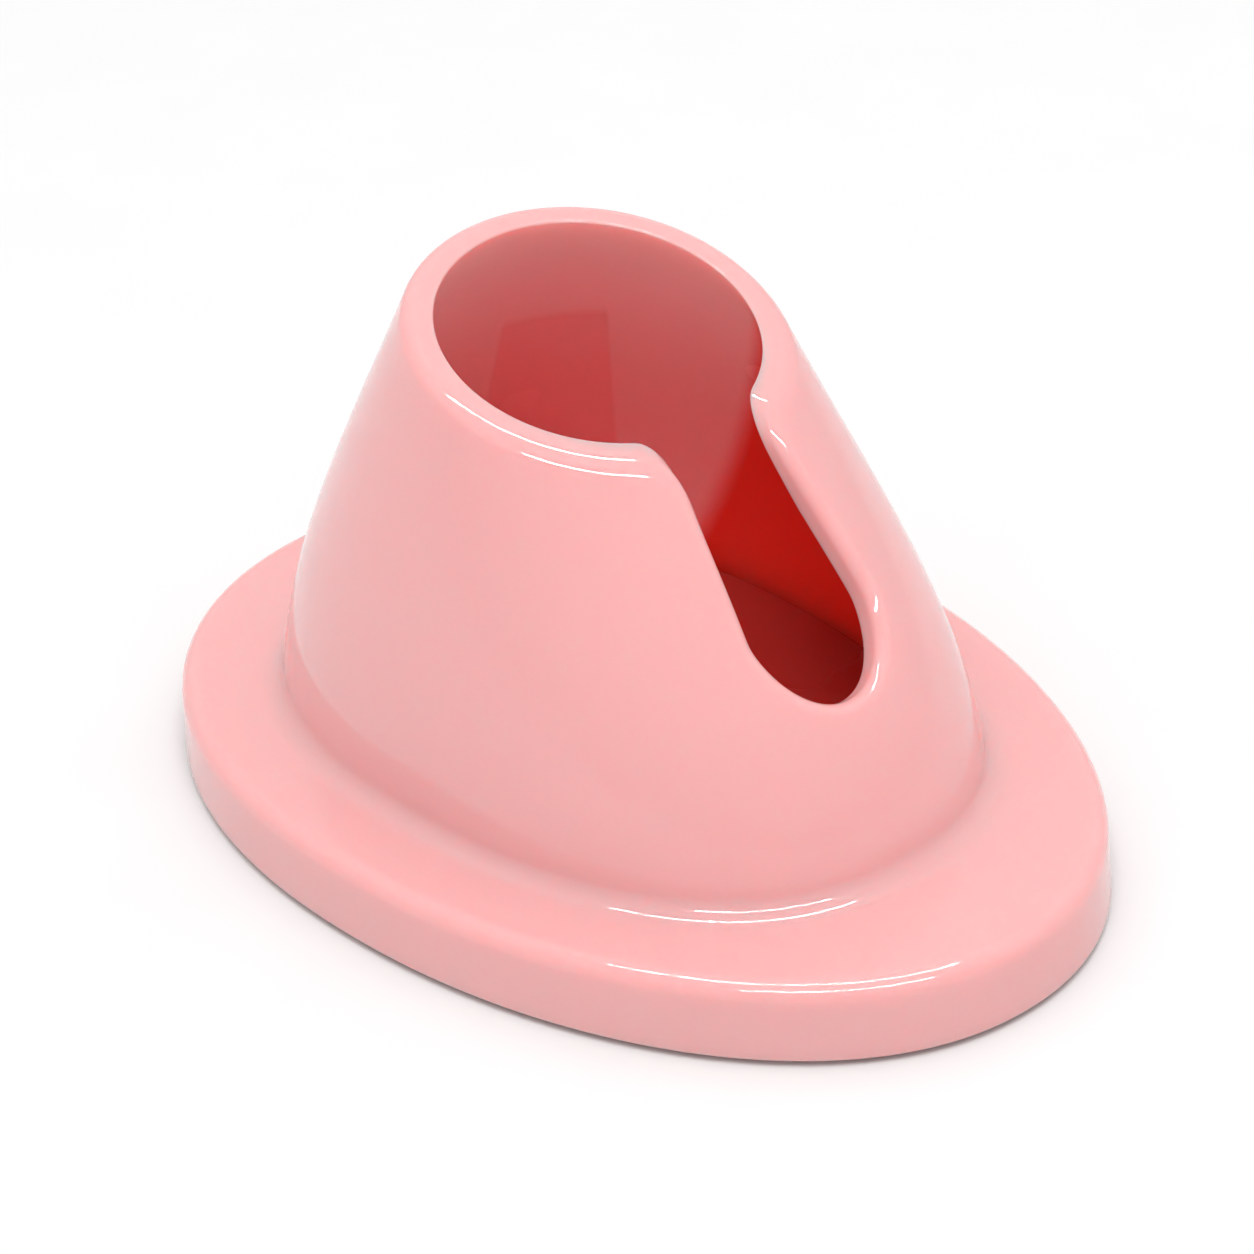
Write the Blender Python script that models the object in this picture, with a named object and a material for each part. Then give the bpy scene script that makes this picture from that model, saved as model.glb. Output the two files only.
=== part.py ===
"""Table stand for a hand-held massage wand: a hollow cone on an oval flange, with a round tipped
mouth that takes the handle and a slot down its front that lets the cord in from the side.

Metres, +Z up. The origin is on the table under the middle of the flange. The slot faces -Y and
the flange is longest along Y. Angles run round the stand from +X, so the front is at -90 degrees.
"""
import math

import bmesh
import bpy
from mathutils import Vector

# Flange: an oval, a little fuller at the back than at the front
FLANGE_HALF_LENGTH = 0.0682
FLANGE_HALF_WIDTH = 0.0468
FLANGE_HEIGHT = 0.00985
FLANGE_SQUARENESS = 2.1      # superellipse exponent, 2 is a true ellipse
FLANGE_BACK_FULLNESS = 0.08
FLANGE_DRAFT = 0.0004        # how far the side leans in over its height
FLANGE_EDGE_ROUND = 0.0020
FLANGE_SIDE_WALL = 0.0030
FLANGE_TOP_WALL = 0.0025

# Cone: its foot stands back from the flange's edge by the two ledges
LEDGE_AT_ENDS = 0.0188
LEDGE_AT_SIDES = 0.0121
FOOT_CENTRE_Y = 0.0008
FOOT_SQUARENESS = 2.35
FOOT_BACK_FULLNESS = 0.06
FOOT_FILLET = 0.0024
BELLY_MIDDLE = 0.0012        # how far the cone's side bows out, evenly over its height
BELLY_LOW = 0.0017           # and more, in its lower half
BELLY_FRONT = 0.0017         # and more, round the slot
WALL_AT_FOOT = 0.0041        # walls are measured level, from the outer skin to the inner one
WALL_AT_MOUTH = 0.0037

# Mouth: a round bore whose rim dips towards the slot
BORE_RADIUS = 0.0195
MOUTH_HEIGHT = 0.0637
MOUTH_CENTRE_Y = 0.0023
MOUTH_TILT = math.radians(18.0)
LIP_ROUND = 0.0013

# Slot: from the mouth down the front, wider at its round foot
SLOT_HALF_WIDTH_AT_MOUTH = 0.0074
SLOT_HALF_WIDTH_AT_FOOT = 0.0093
SLOT_DEPTH = 0.0257          # from the rim's lowest point down to the slot's lowest point
SLOT_CORNER_ROUND = 0.0048   # where the slot's sides run out into the rim
SLOT_EDGE_CHAMFER = 0.0009   # on the slot's outer edge
SLOT_EDGE_OVERSHOOT = 0.0005

# Inside and underneath
FLOOR_STEP = 0.0004          # the inner floor's face above the flange's top
FLOOR_LIP_WIDTH = 0.0026     # the floor's lip that is trapped under the flange's top wall
FLOOR_LIP_THICKNESS = 0.0015
BASE_PLATE_THICKNESS = 0.0020
BASE_PLATE_RECESS = 0.0004   # above the flange's lower edge
FOOT_PROUD = 0.0008          # rubber feet below the flange's lower edge
FOOT_RADIUS = 0.0055
FOOT_POCKET_DEPTH = 0.0008
FOOT_ANGLES = (0.0, 90.0, 180.0, 270.0)
BOSS_RADIUS = 0.0032
BOSS_ANGLES = (50.0, 130.0, 230.0, 310.0)
SCREW_SHANK_RADIUS = 0.0012
SCREW_HEAD_RADIUS = 0.0024
SCREW_HEAD_HEIGHT = 0.0009
SCREW_BITE = 0.0036          # how deep the shank runs into its boss
CLEARANCE = 0.0003           # between pieces that touch

# Mesh density
COLUMNS = 72
WALL_LOOPS = 8
ROUND_SEGMENTS = 24
CORNER_STEPS = 8
STRAIGHT_STEPS = 5
FOOT_ARC_STEPS = 12

FLANGE_FOOT_Z = FOOT_PROUD
FLANGE_TOP_Z = FLANGE_FOOT_Z + FLANGE_HEIGHT
CEILING_Z = FLANGE_TOP_Z - FLANGE_TOP_WALL
FOOT_HALF_LENGTH = FLANGE_HALF_LENGTH - LEDGE_AT_ENDS
FOOT_HALF_WIDTH = FLANGE_HALF_WIDTH - LEDGE_AT_SIDES
MOUTH_RADIUS = BORE_RADIUS + WALL_AT_MOUTH
PLATE_FOOT_Z = FLANGE_FOOT_Z + BASE_PLATE_RECESS
PLATE_TOP_Z = PLATE_FOOT_Z + BASE_PLATE_THICKNESS
FRONT = -math.pi / 2


def clear_scene():
    for item in list(bpy.data.objects):
        bpy.data.objects.remove(item, do_unlink=True)


def plastic(name, colour, roughness, metallic=0.0):
    """A Principled material of one colour."""
    material = bpy.data.materials.new(name)
    material.use_nodes = True
    shader = material.node_tree.nodes["Principled BSDF"]
    shader.inputs["Base Color"].default_value = (*colour, 1.0)
    shader.inputs["Roughness"].default_value = roughness
    shader.inputs["Metallic"].default_value = metallic
    material.diffuse_color = (*colour, 1.0)
    return material


def superellipse_arms(angle, squareness):
    """Cosine and sine of a superellipse, both from -1 to 1."""
    power = 2.0 / squareness
    cosine = math.copysign(abs(math.cos(angle)) ** power, math.cos(angle))
    sine = math.copysign(abs(math.sin(angle)) ** power, math.sin(angle))
    return cosine, sine


def flange_point(angle, inset, z):
    """A point on the flange's outline, moved in by inset."""
    cosine, sine = superellipse_arms(angle, FLANGE_SQUARENESS)
    half_width = (FLANGE_HALF_WIDTH - inset) * (1.0 + FLANGE_BACK_FULLNESS * sine)
    return Vector((half_width * cosine, (FLANGE_HALF_LENGTH - inset) * sine, z))


def foot_point(angle, inset, z):
    """A point on the outline of the cone's foot, moved in by inset."""
    cosine, sine = superellipse_arms(angle, FOOT_SQUARENESS)
    half_width = (FOOT_HALF_WIDTH - inset) * (1.0 + FOOT_BACK_FULLNESS * sine)
    return Vector((half_width * cosine, FOOT_CENTRE_Y + (FOOT_HALF_LENGTH - inset) * sine, z))


def mouth_point(angle, radius, rise=0.0):
    """A point on a circle in the tipped plane of the mouth, or rise above that plane."""
    up = Vector((0.0, -math.sin(MOUTH_TILT), math.cos(MOUTH_TILT)))
    back = Vector((0.0, math.cos(MOUTH_TILT), math.sin(MOUTH_TILT)))
    centre = Vector((0.0, MOUTH_CENTRE_Y, MOUTH_HEIGHT))
    across = Vector((math.cos(angle), 0.0, 0.0))
    return centre + radius * (across + math.sin(angle) * back) + rise * up


def skin_point(angle, climb, inset=0.0):
    """A point on the cone's side: climb is 0 at the foot and 1 at the mouth."""
    foot = foot_point(angle, inset, FLANGE_TOP_Z)
    mouth = mouth_point(angle, MOUTH_RADIUS - inset)
    below_mouth = 1.0 - climb
    facing_slot = max(0.0, -math.sin(angle)) ** 4
    swell = 4.0 * (BELLY_MIDDLE + BELLY_FRONT * facing_slot) * climb * below_mouth
    swell += 6.75 * BELLY_LOW * climb * below_mouth ** 2
    outward = Vector((math.cos(angle), math.sin(angle), 0.0))
    return foot.lerp(mouth, climb) + swell * outward


def wall_at(climb):
    """The wall's level thickness, which thins towards the mouth."""
    return WALL_AT_FOOT + (WALL_AT_MOUTH - WALL_AT_FOOT) * climb ** 4


def soft_corner(start, corner, end, steps):
    """Points of a round corner that is tangent to both of its sides."""
    points = []
    for step in range(steps + 1):
        t = step / steps
        points.append(start.lerp(corner, t).lerp(corner.lerp(end, t), t))
    return points


def ring(place):
    """One loop of points all round the stand. place turns an angle into a point."""
    return [place(2.0 * math.pi * column / COLUMNS) for column in range(COLUMNS)]


def loft(name, loops, material=None):
    """A closed body through loops of equal length, from the lowest to the last, with end caps."""
    mesh = bpy.data.meshes.new(name)
    work = bmesh.new()
    rows = [[work.verts.new(point) for point in loop] for loop in loops]
    count = len(rows[0])
    for lower, upper in zip(rows, rows[1:]):
        for here in range(count):
            after = (here + 1) % count
            work.faces.new((lower[here], lower[after], upper[after], upper[here]))
    work.faces.new(list(reversed(rows[0])))
    work.faces.new(rows[-1])
    bmesh.ops.recalc_face_normals(work, faces=work.faces)
    work.to_mesh(mesh)
    work.free()
    mesh.shade_smooth()
    mesh.set_sharp_from_angle(angle=math.radians(35.0))
    body = bpy.data.objects.new(name, mesh)
    bpy.context.collection.objects.link(body)
    if material:
        mesh.materials.append(material)
    return body


def turned(name, profile, centre, material=None):
    """A closed body of revolution about a vertical axis, from (radius, z) points, bottom first."""
    loops = []
    for radius, z in profile:
        loop = []
        for step in range(ROUND_SEGMENTS):
            angle = 2.0 * math.pi * step / ROUND_SEGMENTS
            loop.append(Vector((radius * math.cos(angle), radius * math.sin(angle), z)))
        loops.append(loop)
    body = loft(name, loops, material)
    body.location = (centre[0], centre[1], 0.0)
    return body


def as_cutter(body):
    body.hide_render = True
    body.display_type = "WIRE"


def boolean(body, other, operation):
    modifier = body.modifiers.new(operation.lower() + "_" + other.name, "BOOLEAN")
    modifier.operation = operation
    modifier.solver = "EXACT"
    modifier.object = other
    as_cutter(other)


def outer_loops():
    """The shell's outside, from the flange's lower edge to the flat of the rim."""
    loops = [ring(lambda a: flange_point(a, 0.0, FLANGE_FOOT_Z))]
    round_start = FLANGE_TOP_Z - FLANGE_EDGE_ROUND
    round_end = FLANGE_DRAFT + FLANGE_EDGE_ROUND
    for step in range(4):
        loops.append(ring(lambda a, step=step: soft_corner(
            flange_point(a, FLANGE_DRAFT, round_start),
            flange_point(a, FLANGE_DRAFT, FLANGE_TOP_Z),
            flange_point(a, round_end, FLANGE_TOP_Z), 3)[step]))
    fillet_climb = FOOT_FILLET / (MOUTH_HEIGHT - FLANGE_TOP_Z)
    for step in range(5):
        loops.append(ring(lambda a, step=step: soft_corner(
            foot_point(a, -FOOT_FILLET, FLANGE_TOP_Z),
            foot_point(a, 0.0, FLANGE_TOP_Z),
            skin_point(a, fillet_climb), 4)[step]))
    lip_climb = 1.0 - LIP_ROUND / (MOUTH_HEIGHT - FLANGE_TOP_Z)
    for step in range(1, WALL_LOOPS):
        climb = fillet_climb + (lip_climb - fillet_climb) * step / WALL_LOOPS
        loops.append(ring(lambda a, climb=climb: skin_point(a, climb)))
    for step in range(4):
        loops.append(ring(lambda a, step=step: soft_corner(
            skin_point(a, lip_climb),
            skin_point(a, 1.0),
            mouth_point(a, MOUTH_RADIUS - LIP_ROUND), 3)[step]))
    return loops


def cavity_loops():
    """The hollow: the flange's underside, then the inside of the cone, out through the mouth."""
    overshoot = 0.004
    loops = [ring(lambda a: flange_point(a, FLANGE_SIDE_WALL, FLANGE_FOOT_Z - overshoot))]
    loops.append(ring(lambda a: flange_point(a, FLANGE_SIDE_WALL, CEILING_Z)))
    loops.append(ring(lambda a: foot_point(a, WALL_AT_FOOT, CEILING_Z)))
    for step in range(WALL_LOOPS + 1):
        climb = step / WALL_LOOPS
        loops.append(ring(lambda a, climb=climb: skin_point(a, climb, wall_at(climb))))
    loops.append(ring(lambda a: mouth_point(a, BORE_RADIUS, overshoot)))
    return loops


def skin_at(x, z):
    """(angle, climb) of the point on the cone's front whose width and height are x and z."""
    angle = FRONT
    climb = 0.5
    for _ in range(6):
        rise = mouth_point(angle, MOUTH_RADIUS).z - FLANGE_TOP_Z
        climb = (z - FLANGE_TOP_Z) / rise
        low = FRONT - 1.3
        high = FRONT + 1.3
        for _ in range(40):
            angle = (low + high) / 2.0
            if skin_point(angle, climb).x < x:
                low = angle
            else:
                high = angle
    return angle, climb


def slot_outline(grow=0.0):
    """Half of the slot's outline from the front, widened by grow on every side.

    Returns (x, z) points from above the rim down to the slot's lowest point.
    """
    rim_low = MOUTH_HEIGHT - MOUTH_RADIUS * math.sin(MOUTH_TILT)
    centre_z = rim_low - SLOT_DEPTH + SLOT_HALF_WIDTH_AT_FOOT
    run_out_x = SLOT_HALF_WIDTH_AT_MOUTH + SLOT_CORNER_ROUND
    reach = math.sqrt(MOUTH_RADIUS ** 2 - run_out_x ** 2)
    rim_z = MOUTH_HEIGHT - reach * math.sin(MOUTH_TILT)
    rim_slope = math.atan(run_out_x * math.sin(MOUTH_TILT) / reach)
    corner_z = rim_z - SLOT_CORNER_ROUND * math.cos(rim_slope)
    corner_radius = SLOT_CORNER_ROUND - grow
    above = 0.006
    points = [(run_out_x + above, rim_z + above)]
    for step in range(CORNER_STEPS + 1):
        turn = (math.pi / 2 - rim_slope) * (1.0 - step / CORNER_STEPS)
        x = run_out_x - corner_radius * math.cos(turn)
        points.append((x, corner_z + corner_radius * math.sin(turn)))
    for step in range(1, STRAIGHT_STEPS):
        t = step / STRAIGHT_STEPS
        x = SLOT_HALF_WIDTH_AT_MOUTH + (SLOT_HALF_WIDTH_AT_FOOT - SLOT_HALF_WIDTH_AT_MOUTH) * t
        points.append((x + grow, corner_z + (centre_z - corner_z) * t))
    foot_radius = SLOT_HALF_WIDTH_AT_FOOT + grow
    for step in range(FOOT_ARC_STEPS + 1):
        turn = math.pi / 2 * step / FOOT_ARC_STEPS
        points.append((foot_radius * math.cos(turn), centre_z - foot_radius * math.sin(turn)))
    return points


def slot_loop(grow, inset):
    """The slot's outline laid on the cone's skin, or inset behind it."""
    right = slot_outline(grow)
    left = [(-x, z) for x, z in reversed(right[:-1])]
    loop = []
    for x, z in right + left:
        angle, climb = skin_at(x, z)
        loop.append(skin_point(angle, climb, inset))
    return loop


def slot_cutter():
    """A wedge through the front wall that follows the cone's own skin, flared at the outer edge."""
    flare = SLOT_EDGE_CHAMFER + SLOT_EDGE_OVERSHOOT
    loops = [
        slot_loop(0.0, 2.5 * WALL_AT_FOOT),
        slot_loop(0.0, SLOT_EDGE_CHAMFER),
        slot_loop(flare, -SLOT_EDGE_OVERSHOOT),
        slot_loop(flare, -1.5 * WALL_AT_FOOT),
    ]
    return loft("slot_cutter", loops)


def boss_spots():
    """The screws' places, midway between the floor's lip and the flange's side wall."""
    spots = []
    for degrees in BOSS_ANGLES:
        angle = math.radians(degrees)
        inner = foot_point(angle, WALL_AT_FOOT - FLOOR_LIP_WIDTH, 0.0)
        outer = flange_point(angle, FLANGE_SIDE_WALL, 0.0)
        spots.append(inner.lerp(outer, 0.5))
    return spots


def rubber_foot_spots():
    """The feet's places, near the edge of the base plate."""
    edge = FLANGE_SIDE_WALL + CLEARANCE + FOOT_RADIUS + 0.0025
    return [flange_point(math.radians(degrees), edge, 0.0) for degrees in FOOT_ANGLES]


def make_shell(material):
    shell = loft("stand_shell", outer_loops(), material)
    boolean(shell, loft("cavity_cutter", cavity_loops()), "DIFFERENCE")
    boolean(shell, slot_cutter(), "DIFFERENCE")
    boss_foot_z = PLATE_TOP_Z + CLEARANCE
    root = 0.001
    hole_top_z = boss_foot_z + SCREW_BITE
    for number, spot in enumerate(boss_spots(), start=1):
        boss_profile = [(BOSS_RADIUS, boss_foot_z), (BOSS_RADIUS, CEILING_Z + root)]
        boolean(shell, turned(f"boss_tool_{number}", boss_profile, spot), "UNION")
        hole_radius = SCREW_SHANK_RADIUS + CLEARANCE
        hole_profile = [(hole_radius, boss_foot_z - root), (hole_radius, hole_top_z + CLEARANCE)]
        boolean(shell, turned(f"pilot_tool_{number}", hole_profile, spot), "DIFFERENCE")
    return shell


def make_floor(material):
    """The inner floor: a plug in the cone's foot on a wider lip that the flange holds down."""
    lip_foot_z = CEILING_Z - CLEARANCE - FLOOR_LIP_THICKNESS
    lip_top_z = CEILING_Z - CLEARANCE
    top_z = FLANGE_TOP_Z + FLOOR_STEP
    lip_inset = WALL_AT_FOOT - FLOOR_LIP_WIDTH
    plug_inset = WALL_AT_FOOT + CLEARANCE
    lead = 0.0004
    loops = [
        ring(lambda a: foot_point(a, lip_inset, lip_foot_z)),
        ring(lambda a: foot_point(a, lip_inset, lip_top_z)),
        ring(lambda a: foot_point(a, plug_inset, lip_top_z)),
        ring(lambda a: foot_point(a, plug_inset, top_z - lead)),
        ring(lambda a: foot_point(a, plug_inset + lead, top_z)),
    ]
    return loft("floor_plate", loops, material)


def make_ballast(material):
    foot_z = PLATE_TOP_Z + CLEARANCE
    top_z = CEILING_Z - 2.0 * CLEARANCE - FLOOR_LIP_THICKNESS
    inset = WALL_AT_FOOT - FLOOR_LIP_WIDTH + CLEARANCE
    edge = 0.0003
    loops = [
        ring(lambda a: foot_point(a, inset + edge, foot_z)),
        ring(lambda a: foot_point(a, inset, foot_z + edge)),
        ring(lambda a: foot_point(a, inset, top_z - edge)),
        ring(lambda a: foot_point(a, inset + edge, top_z)),
    ]
    return loft("ballast_plate", loops, material)


def make_base_plate(material):
    inset = FLANGE_SIDE_WALL + CLEARANCE
    edge = 0.0003
    loops = [
        ring(lambda a: flange_point(a, inset + edge, PLATE_FOOT_Z)),
        ring(lambda a: flange_point(a, inset, PLATE_FOOT_Z + edge)),
        ring(lambda a: flange_point(a, inset, PLATE_TOP_Z)),
    ]
    plate = loft("base_plate", loops, material)
    below_z = PLATE_FOOT_Z - 0.001
    seat_z = PLATE_FOOT_Z + SCREW_HEAD_HEIGHT + CLEARANCE
    for number, spot in enumerate(boss_spots(), start=1):
        well_radius = SCREW_HEAD_RADIUS + CLEARANCE
        hole_radius = SCREW_SHANK_RADIUS + CLEARANCE
        profile = [(well_radius, below_z), (well_radius, seat_z), (hole_radius, seat_z),
                   (hole_radius, PLATE_TOP_Z + 0.001)]
        boolean(plate, turned(f"screw_hole_tool_{number}", profile, spot), "DIFFERENCE")
    for number, spot in enumerate(rubber_foot_spots(), start=1):
        radius = FOOT_RADIUS + CLEARANCE
        profile = [(radius, below_z), (radius, PLATE_FOOT_Z + FOOT_POCKET_DEPTH)]
        boolean(plate, turned(f"foot_pocket_tool_{number}", profile, spot), "DIFFERENCE")
    return plate


def make_screws(material):
    """Pan heads flush in the base plate, with shanks that run up into the bosses."""
    head_z = PLATE_FOOT_Z
    neck_z = head_z + SCREW_HEAD_HEIGHT
    tip_z = PLATE_TOP_Z + CLEARANCE + SCREW_BITE
    taper = 0.0006
    screws = []
    for number, spot in enumerate(boss_spots(), start=1):
        profile = [(SCREW_HEAD_RADIUS - 0.0004, head_z), (SCREW_HEAD_RADIUS, head_z + 0.0003),
                   (SCREW_HEAD_RADIUS, neck_z), (SCREW_SHANK_RADIUS, neck_z),
                   (SCREW_SHANK_RADIUS, tip_z - taper), (SCREW_SHANK_RADIUS / 3.0, tip_z)]
        screws.append(turned(f"screw_{number}", profile, spot, material))
    return screws


def make_feet(material):
    top_z = PLATE_FOOT_Z + FOOT_POCKET_DEPTH - CLEARANCE
    soft = 0.0003
    feet = []
    for number, spot in enumerate(rubber_foot_spots(), start=1):
        profile = [(FOOT_RADIUS - soft, 0.0), (FOOT_RADIUS, soft), (FOOT_RADIUS, top_z)]
        feet.append(turned(f"rubber_foot_{number}", profile, spot, material))
    return feet


def main():
    clear_scene()
    pink = plastic("gloss_pink", (0.86, 0.40, 0.40), 0.12)
    inner_pink = plastic("inner_pink", (0.84, 0.36, 0.36), 0.25)
    steel = plastic("zinc_steel", (0.62, 0.62, 0.60), 0.35, 1.0)
    base_pink = plastic("base_pink", (0.82, 0.38, 0.38), 0.45)
    screw_steel = plastic("screw_steel", (0.70, 0.70, 0.70), 0.30, 1.0)
    rubber = plastic("clear_rubber", (0.75, 0.72, 0.70), 0.60)
    pieces = [
        make_shell(pink),
        make_floor(inner_pink),
        make_ballast(steel),
        make_base_plate(base_pink),
    ]
    pieces += make_screws(screw_steel)
    pieces += make_feet(rubber)
    stand = bpy.data.objects.new("stand", None)
    bpy.context.collection.objects.link(stand)
    for piece in pieces:
        piece.parent = stand


main()
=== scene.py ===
import math

import bmesh
import bpy
import numpy as np
from mathutils import Matrix, Vector


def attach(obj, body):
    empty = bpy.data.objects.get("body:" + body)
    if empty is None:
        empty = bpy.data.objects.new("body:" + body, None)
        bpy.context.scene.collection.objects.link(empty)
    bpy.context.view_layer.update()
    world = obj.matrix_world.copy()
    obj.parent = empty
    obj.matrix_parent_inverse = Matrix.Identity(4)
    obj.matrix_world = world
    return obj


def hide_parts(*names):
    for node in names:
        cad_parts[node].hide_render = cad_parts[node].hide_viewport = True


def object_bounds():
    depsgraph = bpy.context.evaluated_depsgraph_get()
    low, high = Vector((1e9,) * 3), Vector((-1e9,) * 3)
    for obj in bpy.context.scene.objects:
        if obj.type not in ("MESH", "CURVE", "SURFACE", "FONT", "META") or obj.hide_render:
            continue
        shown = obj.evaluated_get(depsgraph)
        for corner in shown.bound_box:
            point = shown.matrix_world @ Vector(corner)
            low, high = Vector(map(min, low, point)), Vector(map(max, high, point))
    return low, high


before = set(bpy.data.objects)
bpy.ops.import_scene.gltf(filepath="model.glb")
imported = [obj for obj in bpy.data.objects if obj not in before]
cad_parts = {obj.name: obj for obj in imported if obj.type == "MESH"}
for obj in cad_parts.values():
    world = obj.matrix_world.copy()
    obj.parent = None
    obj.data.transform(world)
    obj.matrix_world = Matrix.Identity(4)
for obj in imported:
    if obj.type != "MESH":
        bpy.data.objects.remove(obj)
cadLow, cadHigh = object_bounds()
print("frame loaded")

# The stand: metres, +Z up, slot towards -Y. Angles run round it from +X, so the front is -90.
shell = {
    "halfLength": 0.0682, "halfWidth": 0.0468,      # the oval flange
    "flangeFoot": 0.0008, "flangeTop": 0.01065,
    "flangeSquareness": 2.1, "flangeBackFullness": 0.08,
    "draft": 0.0004, "edgeRound": 0.0022, "bottomEdgeRound": 0.0005,
    "footLength": 0.0494, "footWidth": 0.0347,      # the cone's foot
    "footCentre": 0.0008, "footSquareness": 2.35, "footBackFullness": 0.06, "fillet": 0.0026,
    "bellyMiddle": 0.0012, "bellyLow": 0.0017, "bellyFront": 0.0017,  # how far its side bows out
    "boreRadius": 0.0195, "mouthRadius": 0.0232,
    "mouthHeight": 0.0637, "mouthCentre": 0.0023, "mouthTilt": math.radians(18.0),
    "wall": 0.0034, "ringStart": 0.80,
    "slotTopHalf": 0.0074, "slotFootHalf": 0.0093, "slotDepth": 0.0257, "slotCorner": 0.0048,
    "lipRound": 0.0016, "innerLipRound": 0.0004,
    "ceiling": 0.00815, "sideWall": 0.0030,
    "columns": 384, "skinRows": 72, "innerRows": 40,
}


def superellipse(angle, squareness):
    power = 2.0 / squareness
    cosine = np.sign(np.cos(angle)) * np.abs(np.cos(angle)) ** power
    sine = np.sign(np.sin(angle)) * np.abs(np.sin(angle)) ** power
    return cosine, sine


def flangePoints(angle, inset, z):
    cosine, sine = superellipse(angle, shell["flangeSquareness"])
    x = (shell["halfWidth"] - inset) * (1.0 + shell["flangeBackFullness"] * sine) * cosine
    y = (shell["halfLength"] - inset) * sine
    return np.stack([x, y, np.broadcast_to(z, x.shape)], axis=-1)


def footPoints(angle, inset, z):
    cosine, sine = superellipse(angle, shell["footSquareness"])
    x = (shell["footWidth"] - inset) * (1.0 + shell["footBackFullness"] * sine) * cosine
    y = shell["footCentre"] + (shell["footLength"] - inset) * sine
    return np.stack([x, y, np.broadcast_to(z, x.shape)], axis=-1)


def mouthPoints(angle, radius):
    tilt = shell["mouthTilt"]
    x = radius * np.cos(angle)
    y = shell["mouthCentre"] + radius * np.sin(angle) * math.cos(tilt)
    z = shell["mouthHeight"] + radius * np.sin(angle) * math.sin(tilt)
    return np.stack([x, y, z], axis=-1)


# Climb 0 is the cone's foot and 1 its mouth
def skinPoints(angle, climb):
    foot = footPoints(angle, 0.0, shell["flangeTop"])
    mouth = mouthPoints(angle, shell["mouthRadius"])
    low = 1.0 - climb
    front = shell["bellyFront"] * np.clip(-np.sin(angle), 0.0, 1.0) ** 4
    swell = (shell["bellyMiddle"] + front) * 4.0 * climb * low
    swell = swell + shell["bellyLow"] * 6.75 * climb * low ** 2
    outward = np.stack([np.cos(angle), np.sin(angle), np.zeros_like(angle)], axis=-1)
    return foot * low[..., None] + mouth * climb[..., None] + outward * swell[..., None]


def unit(vectors):
    return vectors / np.linalg.norm(vectors, axis=-1, keepdims=True)


def slopes(surface, angle, climb):
    tiny = 1e-4
    byAngle = (surface(angle + tiny, climb) - surface(angle - tiny, climb)) / (2.0 * tiny)
    byClimb = (surface(angle, climb + tiny) - surface(angle, climb - tiny)) / (2.0 * tiny)
    return byAngle, byClimb


def outwardOf(surface, angle, climb):
    return unit(np.cross(*slopes(surface, angle, climb)))


# One wall behind the skin, which turns into the flat ring of the mouth near the top
def innerPoints(angle, climb):
    t = np.clip((climb - shell["ringStart"]) / (1.0 - shell["ringStart"]), 0.0, 1.0)
    t = (t * t * (3.0 - 2.0 * t))[..., None]
    ring = mouthPoints(angle, shell["boreRadius"]) - mouthPoints(angle, shell["mouthRadius"])
    behind = -shell["wall"] * outwardOf(skinPoints, angle, climb)
    return skinPoints(angle, climb) + behind * (1.0 - t) + ring * t


# (angle, climb) after a short walk over the surface along the vectors in move
def stepOver(surface, angle, climb, move):
    start = surface(angle, climb)
    newAngle, newClimb = angle.copy(), climb.copy()
    for _ in range(3):
        gap = start + move - surface(newAngle, newClimb)
        byAngle, byClimb = slopes(surface, newAngle, newClimb)
        aa = (byAngle * byAngle).sum(-1)
        ac = (byAngle * byClimb).sum(-1)
        cc = (byClimb * byClimb).sum(-1)
        ga = (byAngle * gap).sum(-1)
        gc = (byClimb * gap).sum(-1)
        det = aa * cc - ac * ac
        newAngle = newAngle + (cc * ga - ac * gc) / det
        newClimb = newClimb + (aa * gc - ac * ga) / det
    return newAngle, newClimb


# (angle, climb) of the points on the cone's front at that width and height
def frontToSkin(x, z):
    low = np.full_like(x, -math.pi / 2 - 1.3)
    high = np.full_like(x, -math.pi / 2 + 1.3)
    for _ in range(50):
        angle = (low + high) / 2.0
        rise = mouthPoints(angle, shell["mouthRadius"])[..., 2] - shell["flangeTop"]
        climb = (z - shell["flangeTop"]) / rise
        short = skinPoints(angle, climb)[..., 0] < x
        low = np.where(short, angle, low)
        high = np.where(short, high, angle)
    return angle, climb


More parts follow.
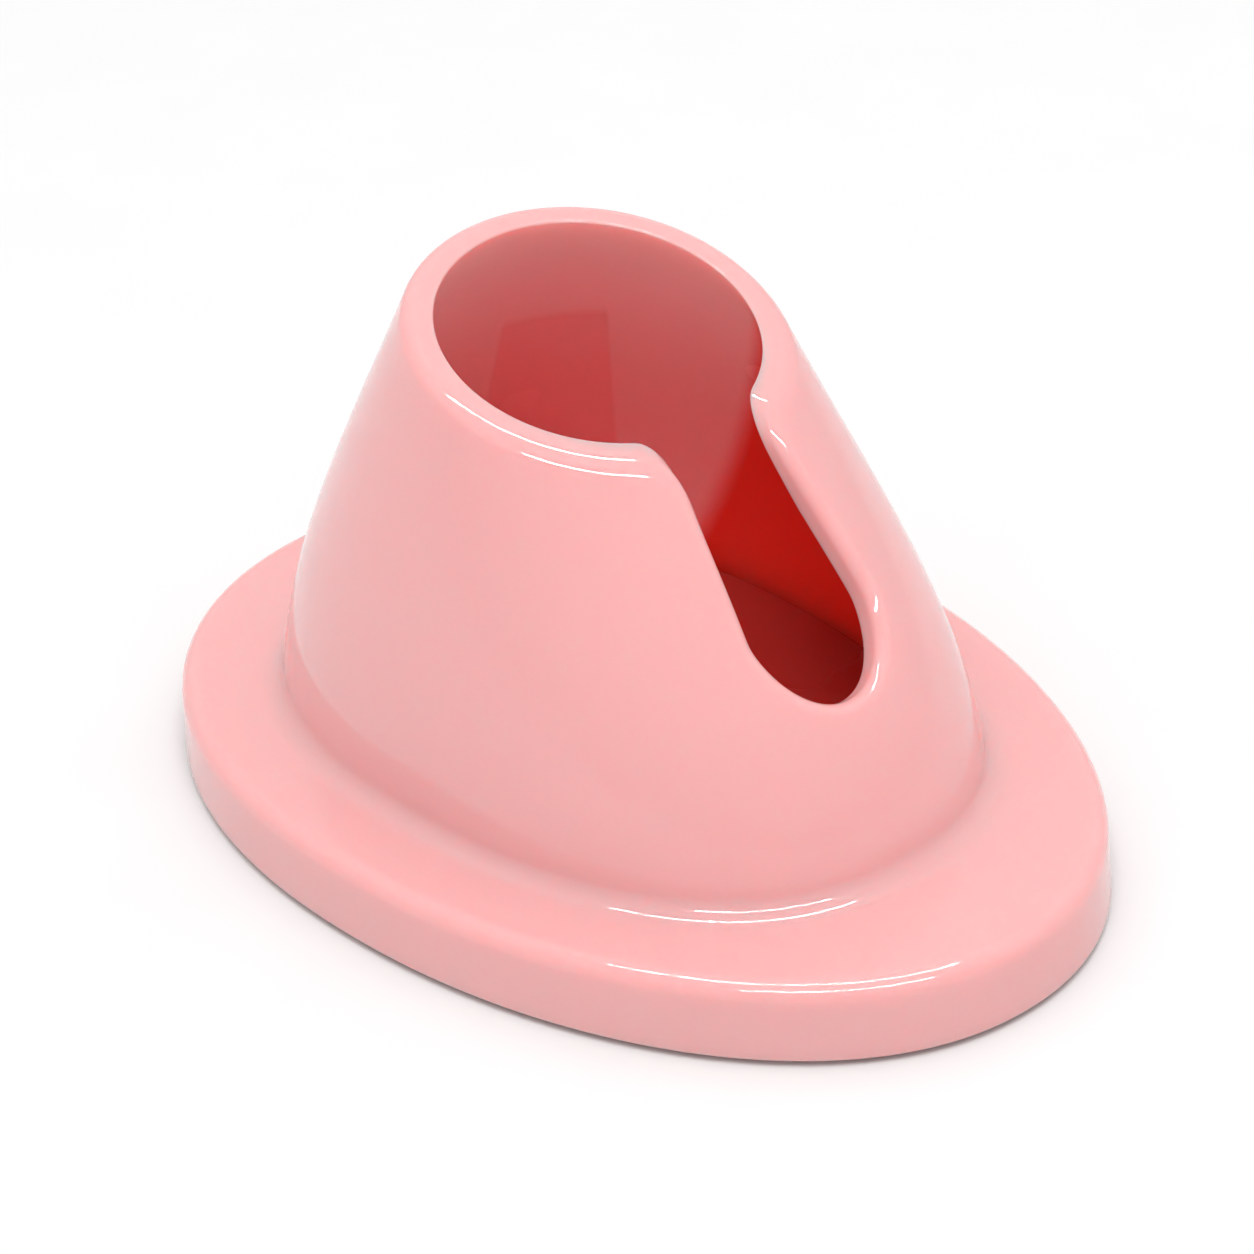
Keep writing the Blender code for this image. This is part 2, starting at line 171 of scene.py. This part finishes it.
# The closed edge round the mouth and down the slot, as (angle, climb), from the back point
def lipCurve():
    radius, tilt = shell["mouthRadius"], shell["mouthTilt"]
    cornerRadius = shell["slotCorner"]
    footHalf = shell["slotFootHalf"]
    footCentre = shell["mouthHeight"] - radius * math.sin(tilt) - shell["slotDepth"] + footHalf
    runOut = shell["slotTopHalf"] + cornerRadius
    reach = math.sqrt(radius ** 2 - runOut ** 2)
    rimHeight = shell["mouthHeight"] - reach * math.sin(tilt)
    rimSlope = math.atan(runOut * math.sin(tilt) / reach)
    cornerHeight = rimHeight - cornerRadius * math.cos(rimSlope)
    lean = math.atan((footHalf - shell["slotTopHalf"]) / (cornerHeight - footCentre))
    turn = np.linspace(math.pi / 2 - rimSlope, -lean, 60)
    cornerX = runOut - cornerRadius * np.cos(turn)
    cornerZ = cornerHeight + cornerRadius * np.sin(turn)
    sweep = np.linspace(lean, math.pi / 2, 60)
    footX = footHalf * np.cos(sweep)
    footZ = footCentre - footHalf * np.sin(sweep)
    straight = np.linspace(0.0, 1.0, 42)[1:-1]
    sideX = cornerX[-1] + (footX[0] - cornerX[-1]) * straight
    sideZ = cornerZ[-1] + (footZ[0] - cornerZ[-1]) * straight
    angle, climb = frontToSkin(np.concatenate([cornerX, sideX, footX]),
                               np.concatenate([cornerZ, sideZ, footZ]))
    rim = np.linspace(math.pi / 2, angle[0], 401)[:-1]
    angle = np.concatenate([rim, angle])
    climb = np.minimum(np.concatenate([np.ones_like(rim), climb]), 1.0)
    angle, climb = evenly(angle, climb, 1500)
    angle, climb = soften(angle, climb, 9.0)
    half = shell["columns"] // 2
    angle, climb = evenly(angle, climb, half)
    left = slice(half - 1, 0, -1)
    return np.concatenate([angle, -math.pi - angle[left]]), np.concatenate([climb, climb[left]])


# The same line with its points at equal distances
def evenly(angle, climb, pieces):
    points = skinPoints(angle, climb)
    along = np.concatenate([[0.0], np.cumsum(np.linalg.norm(np.diff(points, axis=0), axis=1))])
    wanted = np.linspace(0.0, along[-1], pieces + 1)
    return np.interp(wanted, along, angle), np.interp(wanted, along, climb)


# Rounds off small kinks; the line is the same on both sides of its ends
def soften(angle, climb, spread):
    reach = int(4 * spread)
    weights = np.exp(-0.5 * (np.arange(-reach, reach + 1) / spread) ** 2)
    weights /= weights.sum()
    front, back = angle[-1], angle[0]
    longAngle = np.concatenate([2 * back - angle[reach:0:-1], angle,
                                2 * front - angle[-2:-reach - 2:-1]])
    longClimb = np.concatenate([climb[reach:0:-1], climb, climb[-2:-reach - 2:-1]])
    return (np.convolve(longAngle, weights, "valid"), np.convolve(longClimb, weights, "valid"))


# The foot angle that each column of the mesh starts from
def footAngles(lipAngle):
    half = shell["columns"] // 2
    fine = np.linspace(math.pi / 2, -math.pi / 2, 4001)
    outline = footPoints(fine, 0.0, 0.0)
    along = np.concatenate([[0.0], np.cumsum(np.linalg.norm(np.diff(outline, axis=0), axis=1))])
    even = np.interp(np.linspace(0.0, along[-1], half + 1), along, fine)
    mixed = 0.55 * even + 0.45 * lipAngle[:half + 1]
    return np.concatenate([mixed, -math.pi - mixed[half - 1:0:-1]])


# Rows of a cubic curve per column, without its first row
def bezier(start, first, second, end, steps):
    rows = []
    for step in range(1, steps + 1):
        t = step / steps
        rows.append((1 - t) ** 3 * start + 3 * t * (1 - t) ** 2 * first
                    + 3 * t * t * (1 - t) * second + t ** 3 * end)
    return rows


quarterArc = 0.5523    # how far a cubic curve's handles reach to draw a quarter circle


def roundCorner(start, corner, end, steps):
    first = start + quarterArc * (corner - start)
    second = end + quarterArc * (corner - end)
    return bezier(start, first, second, end, steps)


# Rows from start to end, without the first
def between(start, end, steps):
    return [start + (end - start) * step / steps for step in range(1, steps + 1)]


def shellRows():
    s = shell
    angle, climb = lipCurve()
    foot = footAngles(angle)
    top, low = s["flangeTop"], s["flangeFoot"]
    soft = s["bottomEdgeRound"]
    rows = [flangePoints(foot, soft, low)]
    rows += roundCorner(rows[-1], flangePoints(foot, 0.0, low), flangePoints(foot, 0.0, low + soft), 4)
    sideEnd = flangePoints(foot, s["draft"], top - s["edgeRound"])
    rows += between(rows[-1], sideEnd, 8)
    topStart = flangePoints(foot, s["draft"] + s["edgeRound"], top)
    rows += roundCorner(sideEnd, flangePoints(foot, s["draft"], top), topStart, 12)
    # across the flange's top to the fillet, then up the cone
    rows += between(topStart, footPoints(foot, -s["fillet"], top), 10)
    filletClimb = np.full_like(foot, s["fillet"] / (s["mouthHeight"] - top))
    filletEnd = skinPoints(foot, filletClimb)
    rise = unit(slopes(skinPoints, foot, filletClimb)[1])
    corner = filletEnd - rise * ((filletEnd[:, 2] - top) / rise[:, 2])[:, None]
    rows += roundCorner(rows[-1], corner, filletEnd, 12)

    # the lip: along runs with its edge, out of the skin is proud, and into the opening is across
    edge = skinPoints(angle, climb)
    along = unit(np.roll(edge, -1, axis=0) - np.roll(edge, 1, axis=0))
    proud = outwardOf(skinPoints, angle, climb)
    across = unit(np.cross(proud, along))
    across *= np.sign(across[0, 2])
    lipAngle, lipClimb = stepOver(skinPoints, angle, climb, -s["lipRound"] * across)
    for row in range(1, s["skinRows"] + 1):
        t = row / s["skinRows"]
        rows.append(skinPoints(foot + (lipAngle - foot) * t,
                               filletClimb + (lipClimb - filletClimb) * t))
    skinEnd = rows[-1]
    outward = outwardOf(skinPoints, lipAngle, lipClimb)
    overLip = unit(across - outward * (across * outward).sum(-1)[:, None])
    inside = innerPoints(angle, climb)
    cheek = unit(inside - edge)
    cheekStart = edge + cheek * s["lipRound"]
    handle = quarterArc * s["lipRound"]
    rows += bezier(skinEnd, skinEnd + overLip * handle, cheekStart - cheek * handle, cheekStart, 12)
    cheekEnd = inside - cheek * s["innerLipRound"]
    rows += between(cheekStart, cheekEnd, 5)
    backAngle, backClimb = stepOver(innerPoints, angle, climb, -s["innerLipRound"] * across)
    rows += roundCorner(cheekEnd, inside, innerPoints(backAngle, backClimb), 5)

    # down the inside, round the ceiling of the flange and back to its lower edge
    firstInner = len(rows) - 1
    for row in range(1, s["innerRows"] + 1):
        t = row / s["innerRows"]
        rows.append(innerPoints(backAngle + (foot - backAngle) * t, backClimb * (1.0 - t)))
    rows.append(rows[-1] * [1.0, 1.0, 0.0] + [0.0, 0.0, s["ceiling"]])
    rows += between(rows[-1], flangePoints(foot, s["sideWall"], s["ceiling"]), 6)
    rows += between(rows[-1], flangePoints(foot, s["sideWall"], low), 4)
    lastInner = len(rows) - 1
    rows += between(rows[-1], rows[0], 2)[:-1]
    return rows, firstInner, lastInner


# A mesh through rings of equal length; closed joins last and first, else both ends are capped
def gridMesh(name, rows, closed=True):
    points = np.concatenate(rows)
    count = len(rows[0])
    mesh = bpy.data.meshes.new(name)
    faces = []
    last = len(rows) if closed else len(rows) - 1
    for row in range(last):
        above = (row + 1) % len(rows)
        for here in range(count):
            after = (here + 1) % count
            faces.append((row * count + here, row * count + after, above * count + after,
                          above * count + here))
    if not closed:
        faces.append(tuple(range(count)))
        faces.append(tuple(range(len(points) - count, len(points))))
    mesh.from_pydata(points.tolist(), [], faces)
    return mesh


# Rings of a turned part round an upright axis, from (radius, z) pairs
def turnedRows(profile, centre, segments):
    turn = np.linspace(0.0, 2.0 * math.pi, segments, endpoint=False)
    return [np.stack([centre[0] + radius * np.cos(turn), centre[1] + radius * np.sin(turn),
                      np.full_like(turn, z)], axis=-1) for radius, z in profile]


def turnOutward(mesh):
    work = bmesh.new()
    work.from_mesh(mesh)
    bmesh.ops.recalc_face_normals(work, faces=work.faces)
    work.to_mesh(mesh)
    work.free()


def addPiece(name, mesh, slotName, *nodes, sharp=40.0):
    turnOutward(mesh)
    mesh.shade_smooth()
    mesh.set_sharp_from_angle(angle=math.radians(sharp))
    piece = bpy.data.objects.new(name, mesh)
    bpy.context.collection.objects.link(piece)
    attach(piece, "root")
    if nodes:
        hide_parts(*nodes)
    return piece


pinkPlastic = {
    "outside": (0.735, 0.385, 0.383),
    "mouth": (1.0, 0.50, 0.505),      # painted light: the bore, a lighter copy of the outside pink
    "paintedCavityShade": (0.76, 0.064, 0.044),   # painted shade: deep red behind the slot, below a sloping plane
    "cavitySlope": 1.744, "cavityStart": 0.0534, "cavityFade": 0.0022,
    "rim": (1.0, 0.47, 0.45),         # painted light: the last of the bore, below the mouth, in its own tone for the light from the open mouth
    "rimPlane": 0.0630, "rimSlope": 0.325, "rimFade": 0.0120, "rimDepth": 0.45,
    # painted shade: the floor plate's dark red stands in for the shade deep in the cavity
    "floor": (0.48, 0.034, 0.028), "floorDepth": 0.5,
    "panelFrom": math.radians(51.6), "panelTo": math.radians(77.2), "panelTop": 0.0510,
    "panelEdge": 0.012, "panelFade": 0.002, "panelStep": 0.22,
    "panelPaintedReflection": (0.95, 0.80, 0.80),  # painted dark reflection on a patch at the bore's back
    "flowScale": 28.0, "flowMark": 0.975, "floorFlowMark": 0.94,
    "rippleScale": 60.0, "ripple": 0.006,
    "roughness": (0.018, 0.036), "gloss": 0.5,
    "insideRoughness": (0.22, 0.30), "insideGloss": 0.07,
    "outsideDepth": (0.0045, 0.0011, 0.0009),   # how deep red, green and blue light reach
    "insideDepth": (0.0090, 0.0009, 0.0008),
}


# Short ways to make and join the nodes of one material
class Recipe:
    def __init__(self, name):
        self.material = bpy.data.materials.new(name)
        self.material.use_nodes = True
        self.tree = self.material.node_tree
        self.shader = self.tree.nodes["Principled BSDF"]
        self.place = self.add("ShaderNodeTexCoord").outputs["Object"]

    def add(self, kind, inputs=(), **settings):
        node = self.tree.nodes.new(kind)
        for key, value in settings.items():
            setattr(node, key, value)
        for key, value in dict(inputs).items():
            self.put(node.inputs[key], value)
        return node

    def put(self, socket, value):
        if isinstance(value, bpy.types.NodeSocket):
            self.tree.links.new(value, socket)
        else:
            socket.default_value = value

    def maths(self, operation, first, second=0.0):
        return self.add("ShaderNodeMath", {0: first, 1: second}, operation=operation).outputs[0]

    def noise(self, scale, detail):
        return self.add("ShaderNodeTexNoise", {"Vector": self.place, "Scale": scale,
                                               "Detail": detail}).outputs["Fac"]

    def spread(self, value, fromMin, fromMax, toMin, toMax, smooth=False):
        kind = "SMOOTHSTEP" if smooth else "LINEAR"
        ends = {"Value": value, "From Min": fromMin, "From Max": fromMax,
                "To Min": toMin, "To Max": toMax}
        return self.add("ShaderNodeMapRange", ends, interpolation_type=kind).outputs["Result"]

    # the middle of a noise, from low to high
    def vary(self, noise, low, high):
        return self.spread(noise, 0.3, 0.7, low, high)

    def mix(self, factor, first, second):
        node = self.add("ShaderNodeMix", data_type="RGBA")
        self.put(node.inputs["Factor"], factor)
        for key, value in (("A", first), ("B", second)):
            self.put(node.inputs[key], value if isinstance(value, bpy.types.NodeSocket)
                     else (*value, 1.0))
        return node.outputs["Result"]


def darker(colour, share):
    return tuple(channel * share for channel in colour)


# The polish and depth that every pink face has; side is "outside" or "inside"
def pinkFinish(recipe, colour, side, bumpHeight=None):
    p = pinkPlastic
    inside = side == "inside"
    shader = recipe.shader
    recipe.put(shader.inputs["Base Color"], colour)
    roughness = p["insideRoughness"] if inside else p["roughness"]
    recipe.put(shader.inputs["Roughness"],
               recipe.vary(recipe.noise(p["flowScale"], 3.0), *roughness))
    shader.inputs["Specular IOR Level"].default_value = p["insideGloss"] if inside else p["gloss"]
    ripple = recipe.add("ShaderNodeBump", {"Height": recipe.noise(p["rippleScale"], 1.0),
                                           "Strength": p["ripple"], "Distance": 0.001})
    normal = ripple.outputs["Normal"]
    if bumpHeight is not None:
        step = recipe.add("ShaderNodeBump", {"Height": bumpHeight, "Normal": normal,
                                             "Strength": p["panelStep"], "Distance": 0.0004})
        normal = step.outputs["Normal"]
    recipe.put(shader.inputs["Normal"], normal)
    shader.inputs["Subsurface Weight"].default_value = 1.0
    shader.inputs["Subsurface Radius"].default_value = p[f"{side}Depth"]
    if not shader.inputs["Subsurface Scale"].is_linked:
        shader.inputs["Subsurface Scale"].default_value = 1.0
    shader.inputs["IOR"].default_value = 1.5


# A thick translucent moulding: faint flow marks in the colour, a hardly rippled polish
def makeOutsidePink():
    p = pinkPlastic
    recipe = Recipe("glossyPinkOutside")
    flow = recipe.noise(p["flowScale"], 3.0)
    colour = recipe.mix(flow, p["outside"], darker(p["outside"], p["flowMark"]))
    pinkFinish(recipe, colour, "outside")
    return recipe.material


# Inside: rose with painted light near the mouth and rim, painted shade in deep red behind the slot,
# and a painted dark reflection on a stepped patch at the back
def makeInsidePink():
    p = pinkPlastic
    recipe = Recipe("glossyPinkInside")
    axes = recipe.add("ShaderNodeSeparateXYZ", {"Vector": recipe.place}).outputs

    def smooth(value, start, end, startValue, endValue):
        return recipe.spread(value, start, end, startValue, endValue, True)

    # painted shade: below this sloping plane the inside is painted deep red, for the shade deep behind
    # the slot
    level = recipe.maths("ADD", axes["Z"], recipe.maths("MULTIPLY", axes["Y"], p["cavitySlope"]))
    fade = p["cavityFade"] * 2.0
    clearOfPaintedShade = smooth(level, p["cavityStart"] - fade, p["cavityStart"] + fade, 0.0, 1.0)
    turn = recipe.maths("ARCTAN2", axes["Y"], axes["X"])
    edge = p["panelEdge"]
    start = smooth(turn, p["panelFrom"] - edge, p["panelFrom"] + edge, 0.0, 1.0)
    end = smooth(turn, p["panelTo"] - edge, p["panelTo"] + edge, 1.0, 0.0)
    top = smooth(axes["Z"], p["panelTop"], p["panelTop"] + p["panelFade"], 1.0, 0.0)
    inPanel = recipe.maths("MULTIPLY", recipe.maths("MULTIPLY", start, end), top)
    # painted light: towards the rim the bore is painted in the rim's tone
    below = recipe.maths("SUBTRACT", recipe.maths("MULTIPLY", axes["Y"], p["rimSlope"]), axes["Z"])
    nearRim = smooth(below, -p["rimPlane"], p["rimFade"] - p["rimPlane"], 1.0, 0.0)
    mouth = recipe.mix(nearRim, p["mouth"], p["rim"])
    colour = recipe.mix(clearOfPaintedShade, p["paintedCavityShade"], mouth)
    # painted reflection: the patch at the back is painted darker for a dark reflection in the glossy
    # wall
    panelReflectionColour = tuple(channel * tint for channel, tint in zip(p["mouth"], p["panelPaintedReflection"]))
    colour = recipe.mix(inPanel, colour, panelReflectionColour)
    # red light would leak out of the thin rim, so it reaches less deep there
    recipe.put(recipe.shader.inputs["Subsurface Scale"],
               recipe.spread(nearRim, 0.0, 1.0, 1.0, p["rimDepth"]))
    pinkFinish(recipe, colour, "inside", recipe.maths("SUBTRACT", 1.0, inPanel))
    return recipe.material


# Floor plate pink with painted shade in its dark red, and faint flow marks
def makeFloorPink():
    p = pinkPlastic
    recipe = Recipe("glossyPinkFloor")
    flow = recipe.noise(p["flowScale"], 3.0)
    colour = recipe.mix(flow, p["floor"], darker(p["floor"], p["floorFlowMark"]))
    pinkFinish(recipe, colour, "inside")
    recipe.shader.inputs["Subsurface Scale"].default_value = p["floorDepth"]
    return recipe.material


def makeShell():
    rows, firstInner, lastInner = shellRows()
    piece = addPiece("standShell", gridMesh("standShell", rows), "gloss_pink", "stand_shell")
    mesh = piece.data
    mesh.materials.append(makeOutsidePink())
    mesh.materials.append(makeInsidePink())
    count = shell["columns"]
    inside = np.zeros(len(mesh.polygons), dtype=np.int32)
    inside[firstInner * count:lastInner * count] = 1
    mesh.polygons.foreach_set("material_index", inside)


makeShell()
print("shell made")


# The inner floor: a plug in the cone's foot, on a wider lip under the flange's top wall
floorPlate = {"lipInset": 0.0015, "plugInset": 0.0039, "lipFoot": 0.00635, "lipTop": 0.00785,
              "top": 0.01105, "edgeRound": 0.0004, "softLip": 0.0002, "columns": 288}


def makeFloorPlate():
    f = floorPlate
    angle = np.linspace(0.0, 2.0 * math.pi, f["columns"], endpoint=False)
    soft = f["softLip"]
    lipFoot, lipTop = f["lipFoot"], f["lipTop"]
    rows = [footPoints(angle, f["lipInset"] + soft, lipFoot)]
    rows += roundCorner(rows[-1], footPoints(angle, f["lipInset"], lipFoot),
                        footPoints(angle, f["lipInset"], lipFoot + soft), 4)
    rows.append(footPoints(angle, f["lipInset"], lipTop - soft))
    rows += roundCorner(rows[-1], footPoints(angle, f["lipInset"], lipTop),
                        footPoints(angle, f["lipInset"] + soft, lipTop), 4)
    rows += between(rows[-1], footPoints(angle, f["plugInset"], lipTop), 2)
    edge = f["edgeRound"]
    rows += between(rows[-1], footPoints(angle, f["plugInset"], f["top"] - edge), 3)
    rows += roundCorner(rows[-1], footPoints(angle, f["plugInset"], f["top"]),
                        footPoints(angle, f["plugInset"] + edge, f["top"]), 6)
    piece = addPiece("floorPlate", gridMesh("floorPlate", rows, closed=False), "inner_pink",
                     "floor_plate")
    piece.data.materials.append(makeFloorPink())


makeFloorPlate()


# Screws and feet sit on the same spots as in the mechanical parts
screw = {
    "turns": (50.0, 130.0, 230.0, 310.0), "lipInset": 0.0015,
    "headFoot": 0.0012, "neck": 0.0021, "tip": 0.0071, "pointLength": 0.0012,
    "headRadius": 0.0024, "shankRadius": 0.0012,
    "threadStart": 0.0004, "threadRadius": 0.00128, "threadRoot": 0.86, "threadPitch": 0.0006,
    "crossLength": 0.0028, "crossWidth": 0.0006, "crossDepth": 0.0005, "segments": 48,
}
tinyRadius = 0.0001    # the turned parts end in a flat of this radius on their axis


def screwSpots():
    spots = []
    for degrees in screw["turns"]:
        angle = np.array([math.radians(degrees)])
        inner = footPoints(angle, screw["lipInset"], 0.0)[0]
        outer = flangePoints(angle, shell["sideWall"], 0.0)[0]
        spots.append((inner + outer) / 2.0)
    return spots


def makeMoulded(recipe, colour, roughness, grain, scale):
    shader = recipe.shader
    fine = recipe.noise(scale, 4.0)
    recipe.put(shader.inputs["Base Color"], recipe.mix(fine, colour, darker(colour, 0.92)))
    recipe.put(shader.inputs["Roughness"], recipe.vary(fine, *roughness))
    bump = recipe.add("ShaderNodeBump", {"Height": fine, "Strength": grain, "Distance": 0.0002})
    recipe.put(shader.inputs["Normal"], bump.outputs["Normal"])
    return recipe.material


def makeSteel(name, colour, roughness):
    recipe = Recipe(name)
    recipe.shader.inputs["Metallic"].default_value = 1.0
    return makeMoulded(recipe, colour, roughness, 0.10, 900.0)


def makeRubber():
    recipe = Recipe("clearRubber")
    shader = recipe.shader
    shader.inputs["Subsurface Weight"].default_value = 0.6
    shader.inputs["Subsurface Radius"].default_value = (0.0012, 0.0011, 0.0010)
    shader.inputs["Subsurface Scale"].default_value = 1.0
    return makeMoulded(recipe, (0.75, 0.72, 0.70), (0.45, 0.62), 0.20, 1400.0)


def makeScrew(number, spot, material):
    head, neck, tip = screw["headFoot"], screw["neck"], screw["tip"]
    rim, shank = screw["headRadius"], screw["shankRadius"]
    root = shank * screw["threadRoot"]
    profile = [(tinyRadius, head), (rim - 0.0007, head), (rim - 0.0004, head + 0.00004),
               (rim - 0.00015, head + 0.00015), (rim, head + 0.0004), (rim, neck - 0.0001),
               (rim - 0.0001, neck), (shank, neck)]
    z = neck + screw["threadStart"]
    while z < tip - screw["pointLength"]:
        profile += [(root, z), (screw["threadRadius"], z + screw["threadPitch"] / 2.0)]
        z += screw["threadPitch"]
    profile += [(root, z), (shank / 3.0, tip)]
    name = f"screw{number}"
    rows = turnedRows(profile, spot, screw["segments"])
    piece = addPiece(name, gridMesh(name, rows, closed=False), "screw_steel", f"screw_{number}",
                     sharp=50.0)
    carveCross(piece, spot, head)
    piece.data.materials.append(material)


# A cross recess in the screw's head, cut from below
def carveCross(piece, spot, head):
    long, wide = screw["crossLength"] / 2.0, screw["crossWidth"] / 2.0
    outline = [(long, -wide), (long, wide), (wide, wide), (wide, long), (-wide, long),
               (-wide, wide), (-long, wide), (-long, -wide), (-wide, -wide), (-wide, -long),
               (wide, -long), (wide, -wide)]
    rows = [np.array([(spot[0] + x * grow, spot[1] + y * grow, z) for x, y in outline])
            for grow, z in ((1.1, head - 0.0002), (0.8, head + screw["crossDepth"]))]
    mesh = gridMesh("crossTool", rows, closed=False)
    turnOutward(mesh)
    tool = bpy.data.objects.new("crossTool", mesh)
    bpy.context.collection.objects.link(tool)
    cut = piece.modifiers.new("cross", "BOOLEAN")
    cut.operation = "DIFFERENCE"
    cut.object = tool
    carved = piece.evaluated_get(bpy.context.evaluated_depsgraph_get())
    piece.data = bpy.data.meshes.new_from_object(carved)
    piece.modifiers.clear()
    bpy.data.objects.remove(tool)


rubberFoot = {
    "turns": (0.0, 90.0, 180.0, 270.0), "inset": 0.0113, "radius": 0.0055, "top": 0.0017,
    "round": 0.0004, "grooveRadius": 0.0027, "grooveDepth": 0.00018, "segments": 72,
}


def makeRubberFoot(number, spot, material):
    radius, soft, top = rubberFoot["radius"], rubberFoot["round"], rubberFoot["top"]
    groove, depth = rubberFoot["grooveRadius"], rubberFoot["grooveDepth"]
    profile = [(tinyRadius, 0.0), (groove - 0.0004, 0.0), (groove - 0.0002, depth),
               (groove + 0.0002, depth), (groove + 0.0004, 0.0)]
    for turn in np.linspace(0.0, math.pi / 2.0, 7):
        profile.append((radius - soft + soft * math.sin(turn), soft - soft * math.cos(turn)))
    profile += [(radius, top - 0.0001), (radius - 0.0001, top), (tinyRadius, top)]
    name = f"rubberFoot{number}"
    rows = turnedRows(profile, spot, rubberFoot["segments"])
    piece = addPiece(name, gridMesh(name, rows, closed=False), "clear_rubber",
                     f"rubber_foot_{number}")
    piece.data.materials.append(material)


def makeUnderside():
    steel = makeSteel("brightScrew", (0.70, 0.70, 0.70), (0.24, 0.34))
    for number, spot in enumerate(screwSpots(), start=1):
        makeScrew(number, spot, steel)
    rubber = makeRubber()
    for number, degrees in enumerate(rubberFoot["turns"], start=1):
        angle = np.array([math.radians(degrees)])
        spot = flangePoints(angle, rubberFoot["inset"], 0.0)[0]
        makeRubberFoot(number, spot, rubber)
    basePink = Recipe("matteBasePink")
    covers = {
        "base_plate": makeMoulded(basePink, (0.82, 0.38, 0.38), (0.42, 0.58), 0.35, 1800.0),
        "ballast_plate": makeSteel("zincBallast", (0.62, 0.62, 0.60), (0.30, 0.42)),
    }
    for node, material in covers.items():
        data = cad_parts[node].data
        data.materials.clear()
        data.materials.append(material)


makeUnderside()
print("floor and underside made")


# Lights: azimuth and elevation as seen from the stand, degrees; width runs level
studio = {
    "floorSize": 1.6, "floorColour": (0.715, 0.715, 0.715),
    "worldTop": 1.22, "worldSide": 0.66,
    "softKey": {"power": 13.0, "azimuth": -34.0, "elevation": 66.0, "width": 0.80, "height": 0.80},
    "frontBar": {"power": 26.0, "azimuth": -30.0, "elevation": 52.0, "width": 1.40, "height": 0.05},
    "topBar": {"power": 24.0, "azimuth": -30.0, "elevation": 96.0, "width": 1.30, "height": 0.05},
    "lightDistance": 1.6, "aimHeight": 0.03,
}


def makeFloor():
    size = studio["floorSize"]
    mesh = bpy.data.meshes.new("studioFloor")
    corners = [(-size, -size, 0.0), (size, -size, 0.0), (size, size, 0.0), (-size, size, 0.0)]
    mesh.from_pydata(corners, [], [(0, 1, 2, 3)])
    floor = bpy.data.objects.new("studioFloor", mesh)
    floor.location.z = cadLow.z
    bpy.context.collection.objects.link(floor)
    recipe = Recipe("paleSweep")
    tone = recipe.vary(recipe.noise(40.0, 2.0), 0.985, 1.0)
    recipe.put(recipe.shader.inputs["Base Color"],
               recipe.mix(tone, (0.0, 0.0, 0.0), studio["floorColour"]))
    recipe.shader.inputs["Roughness"].default_value = 0.9
    recipe.shader.inputs["Specular IOR Level"].default_value = 0.1
    mesh.materials.append(recipe.material)


def makeWorld():
    world = bpy.data.worlds.new("whiteStudio")
    bpy.context.scene.world = world
    world.use_nodes = True
    nodes, links = world.node_tree.nodes, world.node_tree.links
    background = nodes["Background"]
    place = nodes.new("ShaderNodeTexCoord")
    split = nodes.new("ShaderNodeSeparateXYZ")
    links.new(place.outputs["Generated"], split.inputs["Vector"])
    level = nodes.new("ShaderNodeMapRange")
    level.inputs["From Min"].default_value = 0.0
    level.inputs["From Max"].default_value = 1.0
    level.inputs["To Min"].default_value = studio["worldSide"]
    level.inputs["To Max"].default_value = studio["worldTop"]
    links.new(split.outputs["Z"], level.inputs["Value"])
    links.new(level.outputs["Result"], background.inputs["Strength"])
    background.inputs["Color"].default_value = (1.0, 1.0, 1.0, 1.0)


def towards(azimuth, elevation):
    turn, rise = math.radians(azimuth), math.radians(elevation)
    level = math.cos(rise)
    return Vector((math.sin(turn) * level, -math.cos(turn) * level, math.sin(rise)))


def softBox(name):
    spec = studio[name]
    light = bpy.data.lights.new(name, "AREA")
    light.shape = "RECTANGLE"
    light.size = spec["width"]
    light.size_y = spec["height"]
    light.energy = spec["power"]
    lamp = bpy.data.objects.new(name, light)
    outward = towards(spec["azimuth"], spec["elevation"])
    lamp.location = outward * studio["lightDistance"] + Vector((0.0, 0.0, studio["aimHeight"]))
    lamp.rotation_mode = "QUATERNION"
    lamp.rotation_quaternion = (-outward).to_track_quat("-Z", "Y")
    # the bars only draw the fine lines on the polished rims, the soft key only lights
    onlyShine = name != "softKey"
    lamp.visible_diffuse = not onlyShine
    lamp.visible_glossy = onlyShine
    bpy.context.collection.objects.link(lamp)


# Turned about the upright axis, raised, and rolled, degrees; the rest is metres and millimetres
view = {"azimuth": -38.79, "elevation": 31.46, "roll": -4.0, "distance": 0.49263,
        "target": (-0.00004, 0.00078, 0.02294), "lens": 114.83}


def makeCamera():
    azimuth = math.radians(view["azimuth"])
    roll = math.radians(view["roll"])
    back = towards(view["azimuth"], view["elevation"])
    level = Vector((math.cos(azimuth), math.sin(azimuth), 0.0))
    up = back.cross(level)
    right = level * math.cos(roll) + up * math.sin(roll)
    up = up * math.cos(roll) - level * math.sin(roll)
    place = Vector(view["target"]) + back * view["distance"]
    data = bpy.data.cameras.new("studioCamera")
    data.sensor_width = 36.0
    data.lens = view["lens"]
    data.clip_start = 0.01
    data.clip_end = 20.0
    camera = bpy.data.objects.new("studioCamera", data)
    matrix = Matrix((right, up, back)).transposed().to_4x4()
    matrix.translation = place
    camera.matrix_world = matrix
    bpy.context.collection.objects.link(camera)
    bpy.context.scene.camera = camera


makeFloor()
makeWorld()
for lampName in ("softKey", "frontBar", "topBar"):
    softBox(lampName)
makeCamera()
bpy.context.scene.view_settings.view_transform = "Standard"
print("studio made")
